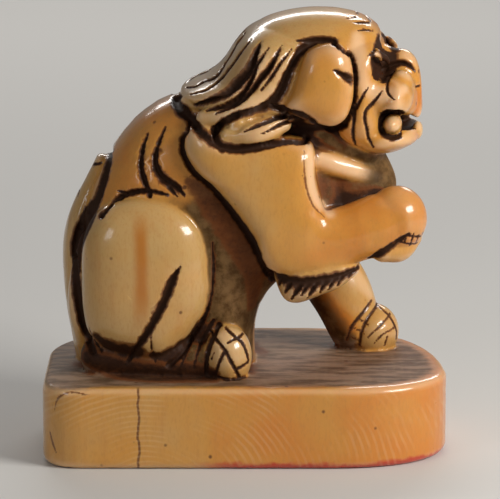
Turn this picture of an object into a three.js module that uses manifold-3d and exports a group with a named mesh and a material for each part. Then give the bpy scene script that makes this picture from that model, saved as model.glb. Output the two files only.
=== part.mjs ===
import * as THREE from "three";
import { mergeVertices } from "three/addons/utils/BufferGeometryUtils.js";
import Module from "manifold-3d";

// A seal netsuke: a lion dog seated on a thick rounded base, carved with it from one block.
// Millimetres, +Z up, origin at the centre of the underside. The animal faces +X, and the
// foreleg that it lifts is its right one, on the -Y side. Outlines are drawn as [x, z], as
// the animal is seen from that side.

const baseLength = 37.1;
const baseDepth = 25.3;
const baseHeight = 7.5;
const baseRim = 0.7; // how far the rims of the base are rounded
const legSpread = 5.6; // from the middle of the animal to the middle of a haunch
const faceTurn = THREE.MathUtils.degToRad(9); // the face looks a little to its right
const facePivot = 6;
const lineStep = 2.8; // from one point to the next along a carved line
const lineDepth = 1.7; // how deep a carved line is, for its half width
const sides = [-1, 1]; // right, then left

const wasm = await Module();
wasm.setup();

// ---- Solids and their geometry ----

function solid(geometry) {
  const bare = geometry.clone();
  bare.deleteAttribute("normal");
  bare.deleteAttribute("uv");
  const merged = mergeVertices(bare, 1e-4);
  return new wasm.Manifold(
    new wasm.Mesh({
      numProp: 3,
      vertProperties: new Float32Array(merged.attributes.position.array),
      triVerts: new Uint32Array(merged.index.array),
    }),
  );
}

function geometryOf(body) {
  const mesh = body.getMesh();
  const geometry = new THREE.BufferGeometry();
  geometry.setAttribute("position", new THREE.BufferAttribute(mesh.vertProperties, 3));
  geometry.setIndex(new THREE.BufferAttribute(mesh.triVerts, 1));
  return geometry;
}

const join = (geometries) => geometries.map(solid).reduce((whole, next) => whole.add(next));

const cut = (body, geometries) => geometries.map(solid).reduce((rest, next) => rest.subtract(next), body);

// A face is drawn looking straight ahead, and this gives it its turn.
const turn = new THREE.Matrix4()
  .makeTranslation(facePivot, 0, 0)
  .multiply(new THREE.Matrix4().makeRotationZ(-faceTurn))
  .multiply(new THREE.Matrix4().makeTranslation(-facePivot, 0, 0));

const turned = (geometry) => geometry.applyMatrix4(turn);

// A closed skin over rings of points, drawn to one point at each end.
function skin(rings, first, last) {
  const around = rings[0].length;
  const points = [first, ...rings.flat(), last];
  const faces = [];
  const at = (ring, spoke) => 1 + ring * around + (spoke % around);
  for (let spoke = 0; spoke < around; spoke++) {
    faces.push(0, at(0, spoke + 1), at(0, spoke));
    for (let ring = 0; ring + 1 < rings.length; ring++) {
      const [a, b] = [at(ring, spoke), at(ring, spoke + 1)];
      const [c, d] = [at(ring + 1, spoke), at(ring + 1, spoke + 1)];
      faces.push(a, b, d, a, d, c);
    }
    faces.push(points.length - 1, at(rings.length - 1, spoke), at(rings.length - 1, spoke + 1));
  }
  const geometry = new THREE.BufferGeometry().setFromPoints(points);
  geometry.setIndex(faces);
  return geometry;
}

// A pebble: rounded like a river stone, with a drawn outline as its side view. Its widest
// plane is at y and it reaches half to each side of it. swell sets how full its shoulders
// are, 2 being an ellipsoid, and lean tips it outwards by that much per millimetre of height.
function pebble(outline, y, half, { swell = 2.4, spokes = 16, rings = 5, lean = 0 } = {}) {
  const corners = outline.map(([x, z]) => new THREE.Vector3(x, 0, z));
  const curve = new THREE.CatmullRomCurve3(corners, true, "centripetal");
  const rim = curve.getSpacedPoints(spokes).slice(0, -1);
  const area = rim.reduce((sum, p, i) => {
    const q = rim[(i + 1) % spokes];
    return sum + p.x * q.z - q.x * p.z;
  }, 0);
  if (area > 0) rim.reverse();
  const centre = new THREE.Vector3();
  rim.forEach((p) => centre.addScaledVector(p, 1 / spokes));
  const full = (value) => Math.sign(value) * Math.abs(value) ** (2 / swell);
  const place = (p, depth) => p.setY(y + half * depth + lean * (p.z - centre.z));
  const slices = Array.from({ length: rings - 1 }, (_, ring) => {
    const angle = -Math.PI / 2 + (Math.PI * (ring + 1)) / rings;
    return rim.map((p) => place(centre.clone().lerp(p, full(Math.cos(angle))), full(Math.sin(angle))));
  });
  return skin(slices, place(centre.clone(), -1), place(centre.clone(), 1));
}

// A ball stretched to three radii.
function ball([x, y, z], [rx, ry, rz], around = 10) {
  const geometry = new THREE.SphereGeometry(1, around, Math.round(around / 2) + 1);
  return geometry.scale(rx, ry, rz).translate(x, y, z);
}

// A limb: a bar along a smooth curve, [x, y, z, radius] at each point, with domed ends.
// flat stretches its section across the animal.
function limb(stations, { flat = 1, around = 8, steps = 1 } = {}) {
  const smooth = (points) => new THREE.CatmullRomCurve3(points, false, "centripetal");
  const path = smooth(stations.map(([x, y, z]) => new THREE.Vector3(x, y, z)));
  const radii = smooth(stations.map((station, i) => new THREE.Vector3(i, station[3], 0)));
  const ring = (t, share, reach) => {
    const tangent = path.getTangent(t).normalize();
    const up = new THREE.Vector3(0, 1, 0).cross(tangent).normalize();
    const out = new THREE.Vector3().crossVectors(tangent, up);
    const radius = radii.getPoint(t).y;
    const centre = path.getPoint(t).addScaledVector(tangent, reach * radius);
    return Array.from({ length: around }, (_, spoke) => {
      const angle = (2 * Math.PI * spoke) / around;
      return centre
        .clone()
        .addScaledVector(up, radius * share * Math.cos(angle))
        .addScaledVector(out, radius * share * flat * Math.sin(angle));
    });
  };
  const dome = 0.7; // where the ring on a domed end lies, as a share of the radius
  const rim = Math.sqrt(1 - dome * dome);
  const spans = (stations.length - 1) * steps;
  const rings = [
    ring(0, rim, -dome),
    ...Array.from({ length: spans + 1 }, (_, i) => ring(i / spans, 1, 0)),
    ring(1, rim, dome),
  ];
  const tip = (t, way) => {
    const reach = way * radii.getPoint(t).y;
    return path.getPoint(t).addScaledVector(path.getTangent(t).normalize(), reach);
  };
  return skin(rings, tip(0, -1), tip(1, 1));
}

// The same points on the right side, -1, or the left side, 1.
const onSide = (side, points) => points.map(([x, y, z, ...more]) => [x, side * y, z, ...more]);

// ---- Carved lines ----

// Cuts V-shaped lines into the sides of a body. A line is drawn as [x, z, half width] in the
// side view, and points along it are dropped onto the surface. A frame turns the drawing.
function engrave(body, lines, { frame = new THREE.Matrix4(), only = sides } = {}) {
  const surface = new THREE.Mesh(geometryOf(body), new THREE.MeshBasicMaterial({ side: THREE.DoubleSide }));
  const caster = new THREE.Raycaster();
  const drop = (side, { x, y: halfWidth, z }) => {
    const from = new THREE.Vector3(x, side * baseDepth, z).applyMatrix4(frame);
    caster.set(from, new THREE.Vector3(0, -side, 0).transformDirection(frame));
    return [...caster.intersectObject(surface)[0].point.toArray(), halfWidth];
  };
  const cutters = only.flatMap((side) =>
    lines.map((line) => {
      const points = line.map(([x, z, halfWidth]) => new THREE.Vector3(x, halfWidth, z));
      const drawn = new THREE.CatmullRomCurve3(points, false, "centripetal");
      const spans = Math.ceil(drawn.getLength() / lineStep);
      const stations = drawn.getSpacedPoints(spans).map((point) => drop(side, point));
      return limb(stations, { flat: lineDepth, around: 4 });
    }),
  );
  return cut(body, cutters);
}

// ---- Base ----

function base() {
  const [l, d] = [baseLength / 2 - baseRim, baseDepth / 2 - baseRim];
  const plan = new THREE.Shape();
  plan.moveTo(-14.3, -d);
  plan.lineTo(8, -d);
  plan.bezierCurveTo(13.5, -d, l - 0.4, -9.6, l, -4.6);
  plan.bezierCurveTo(l - 0.4, 4.6, 14.6, d, 5, d);
  plan.bezierCurveTo(0, d, -4, d, -6.5, d - 0.5);
  plan.bezierCurveTo(-12.4, 11, -l, 8, -l, 1.2);
  plan.lineTo(-l, -8.2);
  plan.bezierCurveTo(-l, -11, -17, -d, -14.3, -d);
  return new THREE.ExtrudeGeometry(plan, {
    depth: baseHeight - 2 * baseRim,
    bevelThickness: baseRim,
    bevelSize: baseRim,
    bevelSegments: 2,
    curveSegments: 5,
  }).translate(0, 0, baseRim);
}

// ---- Body, hind legs and tail ----

const trunk = () =>
  pebble(
    [
      [-14.6, 7.0], [-15.3, 13.0], [-15.5, 18.0], [-14.6, 23.0], [-12.6, 27.0], [-10.1, 30.2],
      [-6.8, 32.3], [-1.0, 33.0], [5.0, 31.6], [9.0, 28.0], [10.5, 22.5], [7.5, 18.2],
      [3.4, 15.6], [1.4, 13.0], [0.8, 10.0], [0.6, 7.0],
    ],
    0,
    7.4,
    { swell: 2.7, spokes: 22, rings: 6 },
  );

const haunch = (side) =>
  pebble(
    [
      [-8.4, 23.9], [-6.2, 23.4], [-4.3, 21.9], [-3.4, 19.6], [-3.3, 16.6], [-3.9, 13.2],
      [-5.4, 10.9], [-7.3, 9.4], [-10.4, 9.6], [-13.2, 10.4], [-14.6, 12.8], [-15.0, 16.4],
      [-14.8, 20.2], [-13.4, 22.6], [-11.1, 23.7],
    ],
    side * legSpread,
    3.8,
    { swell: 2.7, spokes: 20, rings: 6 },
  );

const hindFoot = (side) => [
  limb(onSide(side, [[-13.0, 5.0, 8.8, 2.2], [-8, 5.8, 8.7, 2.1], [-3.6, 6.4, 8.6, 1.9]])),
  ball([-1.6, side * 7.1, 9.3], [2.2, 2.4, 2.9]),
];

const tail = () => [
  limb([[-14.8, 0, 8.2, 1.1], [-15.7, 0, 14.5, 1.15], [-15.6, 0, 20.0, 1.1], [-13.3, 0, 26.3, 0.55]], {
    flat: 2.2,
  }),
  ...sides.map((side) =>
    limb(onSide(side, [[-14.6, 1.6, 8.2, 0.9], [-15.3, 3.1, 14.0, 1.1], [-14.3, 2.9, 21.6, 0.5]]), {
      flat: 1.3,
      around: 6,
    }),
  ),
];

// ---- Forelegs ----

const upperArm = (side) =>
  pebble(
    [
      [-4.9, 30.6], [-5.6, 28.8], [-4.7, 26.8], [-3.1, 25.3], [-0.9, 22.7], [0.8, 20.2],
      [1.9, 17.7], [3.4, 16.8], [5.6, 16.8], [8.0, 17.7], [8.5, 20.6], [7.0, 23.0],
      [5.8, 26.0], [5.3, 28.8], [2.5, 29.9], [-1.5, 30.1],
    ],
    side * 6.0,
    3.2,
    { swell: 2.8, spokes: 20, rings: 6, lean: -0.06 * side },
  );

const raisedForearm = () => [
  limb([[5.0, -6.2, 19.8, 2.9], [9.0, -6.2, 20.4, 2.7], [12.2, -5.9, 21.4, 2.8]], { around: 10, steps: 2 }),
  ball([13.8, -5.6, 21.9], [2.8, 2.7, 3.0]),
  limb([[12.6, -6.6, 19.2, 1.2], [14.0, -5.8, 19.3, 1.4], [15.0, -4.6, 20.0, 1.2]]),
];

const elbowTuft = () =>
  pebble(
    [
      [2.7, 17.2], [2.9, 15.8], [3.6, 14.5], [4.6, 14.2], [6.5, 14.8], [9.0, 15.9], [10.5, 17.6],
      [7.0, 18.6],
    ],
    -6.2,
    2.6,
    { rings: 5 },
  );

const standingForeleg = () => [
  limb([[3.8, 5.8, 21.0, 3.2], [6.6, 5.5, 16.4, 3.0], [8.9, 4.9, 12.2, 2.8], [10.3, 4.6, 9.4, 2.6]], {
    around: 10,
  }),
  ball([11.9, 4.6, 9.0], [2.6, 2.8, 2.6]),
];

// ---- Chest ----

const chest = () => [
  pebble(
    [
      [3.0, 30.0], [8.5, 29.4], [12.3, 27.6], [13.4, 26.0], [14.0, 24.0], [13.2, 21.4],
      [10.4, 19.4], [5.5, 18.0], [2.0, 21.0],
    ],
    0,
    4.8,
    { spokes: 14 },
  ),
  ...sides.map((side) =>
    limb(onSide(side, [[5.0, 4.6, 27.6, 1.3], [8.8, 4.1, 26.3, 1.2], [11.9, 2.6, 25.4, 1.1]])),
  ),
];

// ---- Head, ears and mane ----

const skull = () =>
  pebble(
    [
      [-0.3, 38.0], [1.9, 39.5], [4.4, 40.2], [7.0, 40.4], [9.2, 40.2], [11.1, 39.6], [12.4, 38.5],
      [12.2, 36.8], [11.0, 35.0], [10.6, 31.5], [9.6, 29.4], [5.0, 29.4], [0.0, 32.0], [-1.6, 35.6],
    ],
    0,
    6.5,
    { swell: 2.6, spokes: 20, rings: 6 },
  );

const mane = () =>
  pebble(
    [
      [-6.0, 32.8], [-5.0, 33.5], [-3.3, 34.3], [-2.0, 35.5], [-0.9, 37.2], [0.6, 38.7], [3.0, 39.4],
      [6.4, 38.4], [6.6, 34.0], [5.4, 30.6], [1.0, 29.6], [-2.6, 30.2], [-4.6, 31.4],
    ],
    0,
    7.8,
    { swell: 2.7, spokes: 20 },
  );

// The mane ends in three rounded locks on each side, which lie free over the shoulder.
const locks = (side) => [
  limb(onSide(side, [[0.6, 5.0, 35.6, 1.1], [-2.4, 5.0, 33.6, 1.2], [-5.2, 4.0, 32.5, 0.8]])),
  limb(onSide(side, [[2.2, 6.8, 34.2, 1.1], [-0.6, 6.9, 32.2, 1.2], [-3.6, 6.2, 31.2, 0.9]])),
  limb(onSide(side, [[4.4, 7.6, 31.2, 0.9], [1.2, 7.8, 30.1, 1.2], [-1.6, 7.4, 29.8, 0.7]])),
];

const ear = (side) =>
  pebble(
    [
      [5.4, 37.7], [7.0, 38.0], [8.6, 37.7], [9.4, 36.6], [9.7, 34.6], [9.6, 32.6], [9.0, 31.2],
      [7.9, 30.6], [6.2, 31.1], [4.0, 32.3], [4.6, 34.2],
    ],
    side * 6.6,
    2.4,
    { swell: 2.8 },
  );

// ---- Face, drawn looking straight ahead ----

// The cheeks and temples are one block, which the rest of the face stands on.
const cheeks = () =>
  pebble(
    [
      [8.5, 38.0], [11.4, 38.3], [12.5, 37.4], [12.8, 35.2], [13.3, 32.0], [13.1, 29.2], [12.0, 27.9],
      [9.4, 28.6], [8.4, 33.0],
    ],
    0,
    6.0,
    { swell: 3.2, rings: 6 },
  );

const templeRidge = (side) =>
  limb(
    onSide(side, [[11.5, 4.7, 37.4, 0.8], [11.9, 5.1, 36.0, 0.9], [12.4, 4.9, 34.8, 0.9], [13.4, 3.8, 34.2, 0.9]]),
  );

const brow = () => ball([11.9, 0, 38.0], [0.9, 4.2, 1.1]);

const upperLip = (side) => ball([14.3, side * 2.6, 33.3], [1.8, 2.5, 2.0]);

const nose = () => [
  pebble(
    [
      [12.4, 36.6], [14.2, 36.7], [15.5, 36.2], [16.2, 34.8], [16.4, 33.0], [16.3, 31.4], [15.4, 31.1],
      [14.2, 32.4], [12.6, 34.4],
    ],
    0,
    1.7,
    { spokes: 14 },
  ),
  ...sides.map((side) => ball([15.1, side * 1.6, 35.0], [0.9, 1.2, 0.9], 8)),
];

const jaw = () =>
  pebble(
    [
      [10.5, 30.6], [13.0, 30.2], [15.4, 30.1], [16.1, 29.5], [16.1, 28.7], [15.0, 27.9], [13.0, 27.4],
      [10.5, 28.0],
    ],
    0,
    5.0,
  );

const eye = (side) => ball([12.5, side * 3.7, 37.1], [1.1, 1.3, 0.95], 8);

const eyeHollow = (side) => ball([13.6, side * 3.6, 36.6], [1.7, 1.9, 1.9], 8);

const mouthHollow = () => [
  ...sides.map((side) => ball([14.1, side * 4.7, 31.1], [1.7, 2.2, 1.55], 8)),
  ball([15.4, 0, 30.5], [2.6, 3.6, 0.75]),
];

const mouthBall = () => ball([13.9, 0, 31.0], [1.0, 4.5, 1.0]);

const tongue = () => ball([15.2, 0, 30.0], [0.9, 1.4, 0.6], 8);

// ---- Lines that are cut after the forms are joined, [x, z, half width] ----

const maneLines = [
  [[0.3, 37.9, 0.1], [-1.6, 35.7, 0.3], [-3.2, 34.4, 0.3], [-5.2, 33.3, 0.1]],
  [[1.6, 37.9, 0.1], [0.7, 35.8, 0.4], [-0.7, 33.9, 0.45], [-3.4, 32.5, 0.2]],
  [[3.5, 37.6, 0.1], [2.3, 35.4, 0.35], [0.8, 33.3, 0.35], [-1.8, 31.9, 0.15]],
  [[5.0, 37.9, 0.2], [3.9, 35.4, 0.6], [1.2, 32.0, 0.5], [-2.6, 30.0, 0.35]],
];

const earLine = [
  [3.4, 32.1, 0.3], [8.0, 30.1, 0.35], [10.0, 33.0, 0.3], [9.6, 37.2, 0.25], [5.4, 38.2, 0.3],
];

const thighLine = [[-6.0, 17.7, 0.1], [-7.2, 15.6, 0.5], [-10.6, 9.9, 0.2]];

const cheekLines = [
  [[12.0, 34.0, 0.1], [10.8, 31.9, 0.3], [10.9, 28.9, 0.2]],
  [[13.0, 33.4, 0.1], [11.9, 31.4, 0.3], [12.2, 28.9, 0.15]],
];

const flankLines = [
  [[-8.8, 30.0, 0.1], [-9.4, 27.4, 0.35], [-8.7, 24.9, 0.2]],
  [[-7.2, 30.4, 0.1], [-8.1, 27.2, 0.4], [-5.6, 24.6, 0.2]],
];

// ---- The whole carving ----

const forms = join([
  base(), trunk(), mane(), skull(), ...tail(), ...chest(),
  ...sides.flatMap((side) => [haunch(side), ...hindFoot(side), upperArm(side), ...locks(side), ear(side)]),
  ...raisedForearm(), elbowTuft(), ...standingForeleg(),
  ...[cheeks(), brow(), ...nose(), jaw()].map(turned),
  ...sides.flatMap((side) => [templeRidge(side), upperLip(side)]).map(turned),
]);
const hollows = [...sides.map(eyeHollow), ...mouthHollow()].map(turned);
const fillings = [...sides.map(eye), mouthBall(), tongue()].map(turned);
let carving = cut(forms, hollows).add(join(fillings));
carving = engrave(carving, [...maneLines, earLine]);
carving = engrave(carving, [thighLine, ...flankLines], { only: [-1] });
carving = engrave(carving, cheekLines, { frame: turn, only: [-1] });

const ivory = new THREE.MeshStandardMaterial({ color: 0xd9a765, roughness: 0.35, metalness: 0 });
const netsuke = new THREE.Mesh(geometryOf(carving), ivory);
netsuke.name = "netsuke";

const part = new THREE.Group();
part.add(netsuke);
export default part;
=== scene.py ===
# %% [markdown]
# # A seal netsuke in old ivory
#
# A netsuke is a toggle that held a pouch to a sash. This one is also a seal: a lion dog sits on
# a thick base, and both were carved from one block. This lesson roughs out the carving from
# rounded lumps, welds them to one skin, cuts the lines into that skin, and gives it the look of
# ivory that was stained, polished and handled for a long time.
#
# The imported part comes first, because it fixes the size and the place of everything.

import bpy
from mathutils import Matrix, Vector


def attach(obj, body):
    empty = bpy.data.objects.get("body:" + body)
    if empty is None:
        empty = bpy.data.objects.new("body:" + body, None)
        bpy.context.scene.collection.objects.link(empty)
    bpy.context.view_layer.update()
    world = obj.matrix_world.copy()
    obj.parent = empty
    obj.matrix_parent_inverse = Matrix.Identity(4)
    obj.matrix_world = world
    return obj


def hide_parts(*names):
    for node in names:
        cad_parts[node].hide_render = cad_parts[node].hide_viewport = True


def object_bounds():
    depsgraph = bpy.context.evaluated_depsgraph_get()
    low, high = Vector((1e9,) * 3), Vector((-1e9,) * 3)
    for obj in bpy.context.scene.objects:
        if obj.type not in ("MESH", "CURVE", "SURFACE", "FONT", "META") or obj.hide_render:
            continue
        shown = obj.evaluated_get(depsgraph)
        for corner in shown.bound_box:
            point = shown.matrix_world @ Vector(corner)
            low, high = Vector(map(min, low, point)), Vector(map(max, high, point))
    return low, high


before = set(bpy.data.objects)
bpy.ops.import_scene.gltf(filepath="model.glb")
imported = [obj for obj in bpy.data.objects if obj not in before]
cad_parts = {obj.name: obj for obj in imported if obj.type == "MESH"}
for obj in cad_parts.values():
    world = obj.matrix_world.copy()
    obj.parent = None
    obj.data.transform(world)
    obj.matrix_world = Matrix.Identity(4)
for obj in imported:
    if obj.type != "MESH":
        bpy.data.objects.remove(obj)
cad_low, cad_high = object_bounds()
print("the packed part measures", [round(1000 * side, 2) for side in cad_high - cad_low], "mm")

# %% [markdown]
# The figure is modelled at one unit to the millimetre, and one last step shrinks it to metres.
# The animal faces +X. Its right side, with the lifted forepaw, is the -Y side.

# %% Units, sizes and libraries
import math

import bpy
import numpy as np
from mathutils import Matrix, Vector
from mathutils.bvhtree import BVHTree
from mathutils.kdtree import KDTree

MM = 0.001
SIDES = (-1, 1)  # right, then left
base_length = (cad_high.x - cad_low.x) / MM
base_depth = (cad_high.y - cad_low.y) / MM
base_height = 7.5
base_rim = 0.7  # how far its edges are rounded
neck_place = Vector((6, 0, 0))  # the face turns about an upright line through here
face_angle = math.radians(-9)
FACE_TURN = (
    Matrix.Translation(neck_place) @ Matrix.Rotation(face_angle, 4, "Z") @ Matrix.Translation(-neck_place)
)
print(f"the base is {base_length:.1f} long, {base_depth:.1f} deep and {base_height} high")

# %% [markdown]
# Every rounded form of the carving has a curve as its outline or as its middle line. This
# helper passes a smooth curve through a few points and gives places at equal steps along it.
# Each stretch between two points is a Hermite curve whose tangents come from the points around
# it, spaced by the square root of their distances, which keeps the curve from overshooting.

# %% A smooth curve through points
STRETCH = 24  # places worked out between two drawn points


def smooth_curve(points, count, places=2, closed=False):
    """Only the first columns are places. Any others, such as a radius, are carried along."""
    p = np.asarray(points, float)
    if closed:
        ring = np.vstack([p[-1:], p, p[:2]])
    else:
        ring = np.vstack([2 * p[:1] - p[1:2], p, 2 * p[-1:] - p[-2:-1]])
    u = np.linspace(0, 1, STRETCH, endpoint=False)[:, None]
    pieces = []
    for a, b, c, d in zip(ring, ring[1:], ring[2:], ring[3:]):
        before, span, after = (
            max(np.linalg.norm((q - p)[:places]), 1e-6) ** 0.5 for p, q in ((a, b), (b, c), (c, d))
        )
        leave = span * ((b - a) / before - (c - a) / (before + span) + (c - b) / span)
        arrive = span * ((c - b) / span - (d - b) / (span + after) + (d - c) / after)
        pieces.append(
            (2 * u**3 - 3 * u**2 + 1) * b
            + (u**3 - 2 * u**2 + u) * leave
            + (3 * u**2 - 2 * u**3) * c
            + (u**3 - u**2) * arrive
        )
    dense = np.vstack(pieces + [ring[-2:-1]])
    along = np.append(0, np.cumsum(np.linalg.norm(np.diff(dense[:, :places], axis=0), axis=1)))
    stops = np.linspace(0, along[-1], count, endpoint=not closed)
    return np.column_stack([np.interp(stops, along, column) for column in dense.T])


diamond = [(1, 0), (0, 1), (-1, 0), (0, -1)]
print("a curve through 4 corners has the radius", smooth_curve(diamond, 8, closed=True).max())

# %% [markdown]
# ## Roughing out
#
# A carver first turns the block into a few plain rounded masses. Three kinds of lump do that
# here, and each starts as a sphere whose vertices are moved: a *ball* is a stretched sphere, a
# *pebble* takes a drawn outline as its side view and is rounded across, and a *limb* is drawn
# out along a curve.

# %% Helpers for lumps
AROUND = 64  # corners round each lump
RINGS = 32  # rings from pole to pole of a ball or a pebble
SPANS, DOME = 48, 6  # rings along a limb, and in each of its domed ends
lumps = []


def select_only(*pieces):
    bpy.ops.object.select_all(action="DESELECT")
    for piece in pieces:
        piece.select_set(True)
    bpy.context.view_layer.objects.active = pieces[0]


def new_sphere(rings):
    bpy.ops.object.select_all(action="DESELECT")
    bpy.ops.mesh.primitive_uv_sphere_add(segments=AROUND, ring_count=rings, radius=1)
    lump = bpy.context.object
    lumps.append(lump)
    return lump, read_points(lump)


def read(items, name, columns, kind=np.float32):
    """Reads one property of many vertices, edges or values at once, as a table."""
    values = np.empty(len(items) * columns, kind)
    items.foreach_get(name, values)
    return values.reshape(-1, columns)


def read_points(piece):
    return read(piece.data.vertices, "co", 3).astype(float)


def write_points(piece, points):
    piece.data.vertices.foreach_set("co", np.asarray(points, np.float32).ravel())
    piece.data.update()


def finish_lump(lump, points):
    """Puts the vertices in place and makes sure that the faces point outwards."""
    write_points(lump, points)
    select_only(lump)
    bpy.ops.object.mode_set(mode="EDIT")
    bpy.ops.mesh.select_all(action="SELECT")
    bpy.ops.mesh.normals_make_consistent(inside=False)
    bpy.ops.object.mode_set(mode="OBJECT")
    return lump


def full(values, swell):
    """Swells the shoulders of a round: 2 leaves a circle, and more makes it squarer."""
    return np.sign(values) * np.abs(values) ** (2 / swell)


def ball(centre, radii):
    lump, unit = new_sphere(RINGS)
    return finish_lump(lump, unit * radii + centre)


def pebble(outline, y, half, swell=2.4, lean=0.0):
    """A river stone: outline is its side view as (x, z), and it reaches half to each side of y."""
    rim = smooth_curve(outline, AROUND, closed=True)
    middle = rim.mean(axis=0)
    lump, unit = new_sphere(RINGS)
    spoke = np.round(np.arctan2(unit[:, 1], unit[:, 0]) / (2 * np.pi) * AROUND).astype(int) % AROUND
    share = full(np.hypot(unit[:, 0], unit[:, 1]), swell)[:, None]
    x, z = (middle + (rim[spoke] - middle) * share).T
    y = y + half * full(unit[:, 2], swell) + lean * (z - middle[1])
    return finish_lump(lump, np.column_stack([x, y, z]))


def limb(stations, flat=1.0):
    """A bar along a smooth curve of (x, y, z, radius), with domed ends. flat widens it across."""
    path = smooth_curve(stations, SPANS + 1, places=3)
    way = np.gradient(path[:, :3], axis=0)
    way /= np.linalg.norm(way, axis=1, keepdims=True)
    across = np.array([0, 1, 0]) if np.abs(way[:, 1]).max() < 0.9 else np.array([0, 0, 1])
    up = np.cross(across, way)
    up /= np.linalg.norm(up, axis=1, keepdims=True)
    out = np.cross(way, up)
    rings = SPANS + 2 * DOME
    lump, unit = new_sphere(rings)
    ring = np.round(np.arccos(np.clip(unit[:, 2], -1, 1)) / np.pi * rings).astype(int)
    stop = np.clip(ring - DOME, 0, SPANS)
    cap = np.clip(np.maximum(DOME - ring, ring - DOME - SPANS), 0, DOME) / DOME * np.pi / 2
    share, reach = np.cos(cap), np.sin(cap) * np.sign(ring - DOME - 0.5)
    turn = np.arctan2(unit[:, 1], unit[:, 0])
    radius = path[stop, 3][:, None]
    section = up[stop] * np.cos(turn)[:, None] + flat * out[stop] * np.sin(turn)[:, None]
    section = section * share[:, None] + way[stop] * reach[:, None]
    return finish_lump(lump, path[stop, :3] + radius * section)


def on_side(side, points):
    """Mirrors a left side's points for the right side, and leaves them for the left."""
    return [(x, side * y, *rest) for x, y, *rest in points]


def turned(lump):
    """A face is drawn looking straight ahead, and this gives it its turn to the right."""
    lump.data.transform(FACE_TURN)
    return lump


def paint(piece, name, values):
    attributes = piece.data.attributes
    layer = attributes.get(name) or attributes.new(name, "FLOAT", "POINT")
    layer.data.foreach_set("value", np.clip(values, 0, 1).astype(np.float32))


def tone(lump, warmth, ground_and_shade=0.0, ink_and_shade=0.0):
    """Paints three values on a lump, which stay with it: how orange, how brown and how black."""
    x, y, z = read_points(lump).T
    for name, value in (("warmth", warmth), ("ground_and_shade", ground_and_shade), ("ink_and_shade", ink_and_shade)):
        paint(lump, name, value(x, y, z) if callable(value) else np.full(len(x), value))
    return lump


def ease(low, high, values):
    """Goes from 0 at low to 1 at high with soft ends. It runs down if low is above high."""
    t = np.clip((values - low) / (high - low), 0, 1)
    return t * t * (3 - 2 * t)


print("lumps have", AROUND, "corners round")

# %% [markdown]
# The base is not a box: the corner behind the animal's right side is nearly square, and the
# other end is a full round. Its outline is a face made from a circle primitive whose corners
# are moved onto four Bezier curves. The face is extruded up, and its two rims are bevelled.

# %% The base
def bezier(a, b, c, d, count=14):
    t = np.linspace(0, 1, count, endpoint=False)[:, None]
    a, b, c, d = (np.asarray(point, float) for point in (a, b, c, d))
    return (1 - t) ** 3 * a + 3 * t * (1 - t) ** 2 * b + 3 * t * t * (1 - t) * c + t**3 * d


def apply_modifier(piece, kind, **settings):
    modifier = piece.modifiers.new(kind.lower(), kind)
    for name, value in settings.items():
        setattr(modifier, name, value)
    select_only(piece)
    bpy.ops.object.modifier_apply(modifier=modifier.name)


half_length, half_depth = base_length / 2, base_depth / 2
base_plan = np.vstack([
    bezier((8, -half_depth), (13.8, -half_depth), (18.2, -10), (half_length, -4.6)),
    bezier((half_length, -4.6), (18.2, 5.2), (14.8, half_depth), (5, half_depth)),
    bezier((5, half_depth), (0, half_depth), (-4, half_depth), (-6.7, half_depth - 0.5)),
    bezier((-6.7, half_depth - 0.5), (-12.8, 11.6), (-half_length, 8.4), (-half_length, 1.2)),
    bezier((-half_length, -8.2), (-half_length, -11.4), (-17.3, -half_depth), (-14.3, -half_depth)),
])

bpy.ops.object.select_all(action="DESELECT")
bpy.ops.mesh.primitive_circle_add(vertices=len(base_plan), radius=1, fill_type="NGON")
base = bpy.context.object
lumps.append(base)
write_points(base, np.column_stack([base_plan, np.zeros(len(base_plan))]))
bpy.ops.object.mode_set(mode="EDIT")
bpy.ops.mesh.select_all(action="SELECT")
bpy.ops.mesh.extrude_region_move(TRANSFORM_OT_translate={"value": (0, 0, base_height)})
bpy.ops.mesh.select_all(action="SELECT")
bpy.ops.mesh.normals_make_consistent(inside=False)
bpy.ops.object.mode_set(mode="OBJECT")
apply_modifier(base, "BEVEL", width=base_rim, segments=6, angle_limit=math.radians(50))
tone(base, lambda x, y, z: 0.45 + 0.5 * ease(-4, 18, x))
print("the base has", len(base.data.polygons), "faces")

# %% [markdown]
# The body is a big pebble that leans back onto its haunches. A hind leg is a flatter pebble, a
# bar for the foot under it and a paw. The tail is a plume of three flat tongues up the back.
# The flank between the legs is one of the places that hold the stain.

# %% Body, hind legs and tail
def flank_stain(x, y, z):
    return ease(27.5, 23.5, z - 0.25 * x) * ease(2.0, 3.5, np.abs(y))


trunk = [
    (-14.6, 7), (-15.3, 13), (-15.5, 18), (-14.6, 23), (-12.6, 27), (-10.1, 30.2), (-6.8, 32.3), (-1, 33),
    (5, 31.6), (9, 28), (10.5, 22.5), (7.5, 18.2), (3.4, 15.6), (1.4, 13), (0.8, 10), (0.6, 7),
]
haunch = [
    (-8.4, 23.9), (-6.2, 23.4), (-4.3, 21.9), (-3.4, 19.6), (-3.2, 16.6), (-3.5, 14), (-4.6, 11.8),
    (-6.2, 9.8), (-7.7, 8.6), (-10.2, 9), (-12.8, 9.8), (-14.4, 11.4), (-14.9, 13.6), (-15, 16.8),
    (-14.7, 20.4), (-13.4, 22.6), (-11.1, 23.7),
]
hind_foot = [(-13, 5, 8.8, 2.2), (-8, 5.8, 8.7, 2.1), (-3.6, 6.4, 8.6, 1.9)]
tail_side = [(-14.6, 1.6, 8.2, 0.9), (-15.3, 3.1, 14, 1.1), (-14.3, 2.9, 21.6, 0.5)]
tail_middle = [(-14.8, 0, 8.2, 1.1), (-15.7, 0, 14.5, 1.15), (-15.6, 0, 20, 1.1), (-13.3, 0, 26.3, 0.55)]
tone(pebble(trunk, y=0, half=7.4, swell=2.7), 0.75, flank_stain)
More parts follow.
